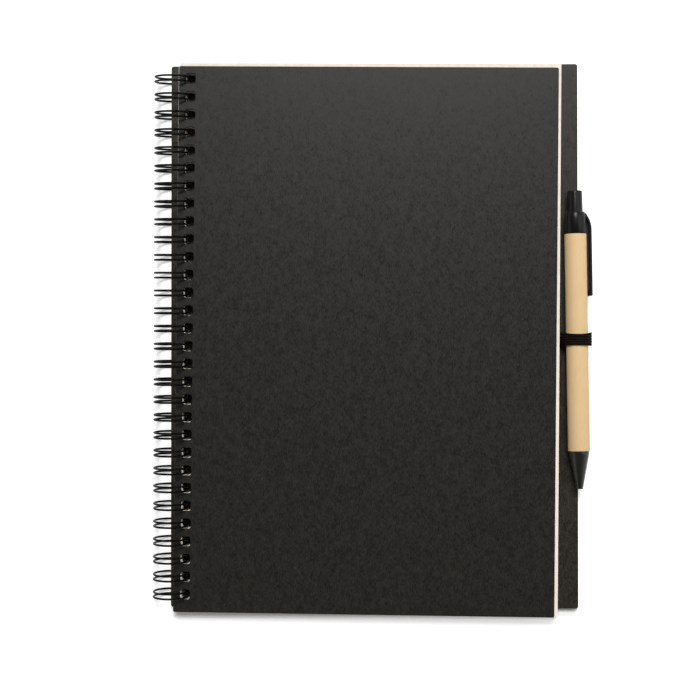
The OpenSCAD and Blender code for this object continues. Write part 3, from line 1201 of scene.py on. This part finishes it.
@dataclass
class Pen:
    """The click pen: paper barrel, moulded nose cone, housing with clip, and push button."""

    barrel_radius: float = 5.175 * MM
    barrel_length: float = 102.3 * MM
    wall: float = 1.0 * MM
    nose_length: float = 17.9 * MM
    nose_radius: float = 4.8 * MM
    collar: float = 1.5 * MM
    tip_radius: float = 1.6 * MM
    bore_radius: float = 1.3 * MM
    housing_length: float = 10.5 * MM
    shoulder: float = 4.0 * MM
    button_length: float = 9.9 * MM
    button_radius: float = 3.5 * MM
    button_base: float = 3.65 * MM
    plug_length: float = 6 * MM
    plug_play: float = 0.1 * MM
    plug_wall: float = 1 * MM
    barrel_soft: float = 0.15 * MM
    mouth_flare: tuple[float, float] = (0.05 * MM, 0.2 * MM)
    tip_round: tuple[float, float] = (0.1 * MM, 0.3 * MM)
    taper_end: tuple[float, float] = (0.25 * MM, 1.0 * MM)
    collar_step: tuple[float, float] = (0.05 * MM, 0.6 * MM)
    collar_rim: tuple[float, float] = (0.12 * MM, 0.15 * MM)
    cavity_radius: float = 2.5 * MM
    cavity_floor: float = 8 * MM
    housing_foot: tuple[float, float] = (0.05 * MM, 0.1 * MM)
    housing_draft: float = 0.1 * MM
    housing_floor: float = 1 * MM
    lip_outer: float = 0.6 * MM
    lip_inner: float = 0.45 * MM
    lip_drop: float = 0.1 * MM
    mouth_play: float = 0.1 * MM
    button_skirt: float = 4.2 * MM
    button_stem: float = 11.5 * MM
    stem_radius: float = 2.6 * MM
    button_soft: float = 0.35 * MM
    button_rim: float = 0.9 * MM
    button_dish: float = 0.05 * MM
    clip_length: float = 39.8 * MM
    clip_thickness: float = 1.5 * MM
    clip_width: float = 4.4 * MM
    clip_gap: float = 0.9 * MM
    clip_bend: float = 12.0 * MM
    clip_rise: float = 45.0
    clip_degrees: float = 41.0
    clip_steps: int = 12
    clip_sides: int = 32
    clip_power: float = 0.35
    clip_turn: float = 14.0
    end_step: float = 0.35 * MM
    end_draw: tuple[float, float] = (0.6, 0.85)
    end_round: float = 0.1 * MM
    bead_length: float = 1.7 * MM
    bead_height: float = 0.72 * MM
    bead_share: float = 0.85
    bead_up: float = 1.5 * MM
    tilt: float = 0.75

    def lay(self, piece: bpy.types.Object) -> None:
        """Lay a piece that stands on the pen's point beside the pages.

        Args:
            piece: the piece.
        """
        low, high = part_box("pen_barrel")
        place = (Matrix.Translation((low + high) / 2) @ Matrix.Rotation(math.radians(self.tilt), 4, "Z")
                 @ Matrix.Rotation(math.radians(-90), 4, "X")
                 @ Matrix.Translation((0, 0, -self.nose_length - self.barrel_length / 2)))
        piece.data.transform(place)

    def barrel(self) -> None:
        """Wind the paper barrel: a tube with softly crushed ends."""
        outer, inner, soft = self.barrel_radius, self.barrel_radius - self.wall, self.barrel_soft
        low, high = self.nose_length, self.nose_length + self.barrel_length
        tube = Lathe("paper_barrel", inner, low).ring(outer - soft, low)
        tube.round(outer, low + soft, along_first=False, steps=3)
        for share in (0.25, 0.5, 0.75):
            tube.ring(outer, low + (high - low) * share)
        tube.ring(outer, high - soft).round(outer - soft, high, along_first=True, steps=3)
        tube.ring(inner, high).ring(inner, low)
        piece = tube.done()
        self.lay(piece)
        finish_piece(piece, Body.BASE, KRAFT, ("pen_barrel",))

    def nose(self) -> None:
        """Mould the nose cone: a short collar, a straight taper and a small rounded mouth."""
        top, plug = self.nose_length, self.barrel_radius - self.wall - self.plug_play
        collar = top - self.collar
        flare, lip = self.mouth_flare
        cone = Lathe("nose_cone", self.bore_radius, lip).ring(self.bore_radius + flare, 0)
        cone.ring(self.tip_radius - self.tip_round[0], 0)
        cone.round(self.tip_radius, self.tip_round[1], along_first=False, steps=3)
        cone.ring(self.nose_radius - self.taper_end[0], collar - self.taper_end[1])
        cone.ring(self.nose_radius - self.collar_step[0], collar)
        cone.ring(self.nose_radius, collar + self.collar_step[1])
        cone.ring(self.nose_radius, top - self.collar_rim[1])
        cone.ring(self.nose_radius - self.collar_rim[0], top)
        cone.ring(plug, top).ring(plug, top + self.plug_length)
        cone.ring(plug - self.plug_wall, top + self.plug_length)
        cone.ring(self.cavity_radius, self.cavity_floor).ring(self.bore_radius, self.cavity_floor)
        cone.ring(self.bore_radius, lip)
        piece = cone.done()
        self.lay(piece)
        finish_piece(piece, Body.BASE, NOSE_ABS, ("pen_nose",), smooth=35)

    def housing(self) -> None:
        """Mould the housing and the clip that springs from its shoulder."""
        base = self.nose_length + self.barrel_length
        top = self.nose_length + self.barrel_length + self.housing_length
        plug, mouth = self.barrel_radius - self.wall - self.plug_play, self.button_base + self.mouth_play
        inner, low, floor = plug - self.plug_wall, base - self.plug_length, base + self.housing_floor
        shell = Lathe("clip_housing", inner, low).ring(plug, low)
        shell.ring(plug, base).ring(self.barrel_radius, base)
        shell.ring(self.barrel_radius + self.housing_foot[0], base + self.housing_foot[1])
        shell.ring(self.barrel_radius - self.housing_draft, top - self.shoulder)
        shell.round(mouth + self.lip_outer, top - self.lip_drop, along_first=True, steps=8)
        shell.ring(mouth + self.lip_inner, top).ring(mouth, top).ring(mouth, floor)
        shell.ring(inner, floor).ring(inner, low)
        body = join([shell.done(), self.clip(top)], "clip_housing")
        self.lay(body)
        finish_piece(body, Body.BASE, HOUSING_ABS, ("pen_housing",), smooth=35)

    def clip(self, top: float) -> bpy.types.Object:
        """Bend the clip from its free end up to the shoulder, and turn it a little towards the table.

        Args:
            top: height of the housing's top above the pen's point.

        Returns:
            The clip with its bead.
        """
        middle = self.barrel_radius + self.clip_gap + self.clip_thickness / 2
        half_w, half_t = self.clip_width / 2, self.clip_thickness / 2
        bend = self.clip_bend - half_t

        def bar(turn: float) -> tuple[float, float]:
            """Draw a rectangle with soft corners.

            Args:
                turn: place round the outline, from 0 to 1.

            Returns:
                Place across the clip and through it.
            """
            across, through = math.cos(2 * math.pi * turn), math.sin(2 * math.pi * turn)
            return (half_w * math.copysign(abs(across) ** self.clip_power, across),
                    half_t * math.copysign(abs(through) ** self.clip_power, through))

        start = Vector((middle, 0, top - self.clip_length))
        arm = Sweep("clip", start, Dir.UP.value, self.clip_sides, half_w, bar, up=Dir.ACROSS.value)
        arm.straight(self.end_step)
        rise = self.clip_bend * math.sin(math.radians(self.clip_rise))
        arm.straight(self.clip_length - rise - self.end_step)
        arm.turn(-Dir.ALONG.value, bend, self.clip_degrees, self.clip_steps)
        piece = arm.done()
        self.round_clip_end(piece, start, half_t)
        bpy.ops.mesh.primitive_uv_sphere_add(
            segments=20, ring_count=12, radius=1,
            location=(middle - half_t, 0, top - self.clip_length + self.bead_up))
        bead = bpy.context.object
        bead.scale = (self.bead_height, half_w * self.bead_share, self.bead_length)
        bpy.ops.object.transform_apply(location=True, rotation=True, scale=True)
        whole = join([piece, bead], "clip")
        whole.data.transform(Matrix.Rotation(math.radians(self.clip_turn), 4, "Z"))
        return whole

    def round_clip_end(self, piece: bpy.types.Object, start: Vector, soft: float) -> None:
        """Round the clip's free end by drawing its last section together.

        Args:
            piece: the clip.
            start: middle of its free end.
            soft: half the clip's thickness.
        """
        for vertex in piece.data.vertices:
            if vertex.co.z < start.z + JOINT_GAP:
                vertex.co.x = start.x + (vertex.co.x - start.x) * self.end_draw[0]
                vertex.co.y *= self.end_draw[1]
                vertex.co.z += abs(vertex.co.x - start.x) / soft * self.end_round
        clear_selection()

    def button(self) -> None:
        """Mould the push button: a slight taper that ends in a soft flat top."""
        top = self.nose_length + self.barrel_length + self.housing_length
        skirt, stem, end = top - self.button_skirt, top - self.button_stem, top + self.button_length
        cap = Lathe("push_button", self.stem_radius, stem, filled=True)
        cap.ring(self.stem_radius, skirt).ring(self.button_base, skirt).ring(self.button_base, top)
        cap.ring(self.button_radius, end - self.button_soft)
        cap.round(self.button_radius - self.button_soft, end, along_first=True, steps=5)
        cap.ring(self.button_radius - self.button_rim, end - self.button_dish)
        piece = cap.done()
        self.lay(piece)
        finish_piece(piece, Body.CLICKER, BUTTON_ABS, ("pen_button",), smooth=35)

    def build(self) -> None:
        """Make the pen's pieces and dress its inner parts."""
        self.barrel()
        self.nose()
        self.housing()
        self.button()
        dress_node("refill_tube", REFILL)
        dress_node("refill_point", BRASS)
        dress_node("pen_spring", SPRING_STEEL)


@dataclass
class Studio:
    """Camera, floor and soft light of a photograph taken from straight above."""

    camera_offset: Vector = field(default_factory=lambda: Vector((109.81, -16.73, 779.12)) * MM)
    camera_turn: tuple[float, float, float] = (0.740, 1.840, -0.106)
    focal_px: float = 1625.4
    image_px: float = 700.0
    sensor_mm: float = 36.0
    room_level: float = 0.22
    wall_span: tuple[float, float] = (0.35, 0.7)
    near_clip: float = 0.01
    floor_size: float = 6.0

    def camera(self, binding: Binding) -> None:
        """Set the camera over the notebook, placed from the loops' axis and the table.

        Args:
            binding: the wire, whose axis is the camera's reference.
        """
        data = bpy.data.cameras.new("view_from_above")
        data.sensor_width = self.sensor_mm
        data.lens = self.focal_px / self.image_px * self.sensor_mm
        data.clip_start = self.near_clip
        camera = bpy.data.objects.new("view_from_above", data)
        bpy.context.scene.collection.objects.link(camera)
        camera.location = Vector((binding.axis.x, binding.axis.y, 0)) + self.camera_offset
        camera.rotation_euler = tuple(math.radians(a) for a in self.camera_turn)
        bpy.context.scene.camera = camera

    def floor(self) -> None:
        """Lay the seamless paper."""
        clear_selection()
        bpy.ops.mesh.primitive_plane_add(size=self.floor_size, location=(0, 0, 0))
        paper = bpy.context.object
        paper.name = "seamless_paper"
        # The paper's own light fades out inside the back board's sides and top, and just below the pages'
        # bottom edge: a painted shadow under the notebook and along its bottom edge.
        painted_shadow_fade = StudioPaper.painted_shadow_fade_mm[1] * MM
        low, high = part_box("back_cover")
        near = Vector((low.x + painted_shadow_fade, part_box("page_block")[0].y, 0))
        middle = (near + Vector((high.x - painted_shadow_fade, high.y - painted_shadow_fade, 0))) / 2
        half = middle - near
        finish = StudioPaper("studio_paper", "", tuple(middle), tuple(half))
        paper.data.materials.append(finish.material())

    def softbox(self, name: str, at: tuple[float, float, float], size: float, power: float) -> None:
        """Hang a soft light that looks at the notebook.

        Args:
            name: name of the light.
            at: its place.
            size: its width and height in metres.
            power: its power in watts.
        """
        data = bpy.data.lights.new(name, "AREA")
        data.shape = "SQUARE"
        data.size = size
        data.energy = power
        light = bpy.data.objects.new(name, data)
        bpy.context.scene.collection.objects.link(light)
        light.location = at
        light.rotation_euler = (-Vector(at)).to_track_quat("-Z", "Y").to_euler()

    def light(self) -> None:
        """Light the set: a key beyond the head of the notebook, and a weaker fill from the pen's side."""
        self.softbox("key_softbox", at=(0.12, 2.15, 4.05), size=1.5, power=170.0)
        self.softbox("side_fill", at=(1.9, 0.3, 1.9), size=1.6, power=15.0)

    def room(self) -> None:
        """Close the set with white walls that the camera and reflections see, under a duller ceiling."""
        world = bpy.data.worlds.new("white_room")
        bpy.context.scene.world = world
        world.use_nodes = True
        tree = world.node_tree
        tree.nodes.clear()
        place = add_node(tree, "ShaderNodeTexCoord")
        height = add_node(tree, "ShaderNodeSeparateXYZ", links={0: place.outputs["Generated"]})
        low, high = self.wall_span
        wall = add_node(tree, "ShaderNodeMapRange",
                        {"From Min": low, "From Max": high, "To Min": 1.0, "To Max": 0.0},
                        {"Value": height.outputs["Z"]})
        share = add_node(tree, "ShaderNodeMath", {"operation": "MULTIPLY"},
                         {0: sees_set(tree), 1: wall.outputs[0]})
        level = add_node(tree, "ShaderNodeMapRange", {"To Min": self.room_level, "To Max": 1.0},
                         {"Value": share.outputs[0]})
        air = add_node(tree, "ShaderNodeBackground", {"Color": (1, 1, 1, 1)}, {"Strength": level.outputs[0]})
        add_node(tree, "ShaderNodeOutputWorld", links={"Surface": air.outputs[0]})

    def build(self, binding: Binding) -> None:
        """Set up camera, floor, light and colour view.

        Args:
            binding: the wire, whose axis is the camera's reference.
        """
        self.camera(binding)
        self.floor()
        self.light()
        self.room()
        bpy.context.scene.view_settings.view_transform = "Standard"


def main() -> None:
    """Build the studio and the notebook's pieces."""
    logging.basicConfig(level=logging.INFO, format="%(name)s: %(message)s")
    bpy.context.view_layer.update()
    binding, punch, pen = Binding(), Punch(), Pen()
    Studio().build(binding)
    binding.build()
    Sheets().build(binding)
    for cover in covers():
        cover.build(binding, punch)
    pen.build()
    PenLoop().build(pen)
    LOG.info("boxes written")


if __name__ == "__main__":
    main()
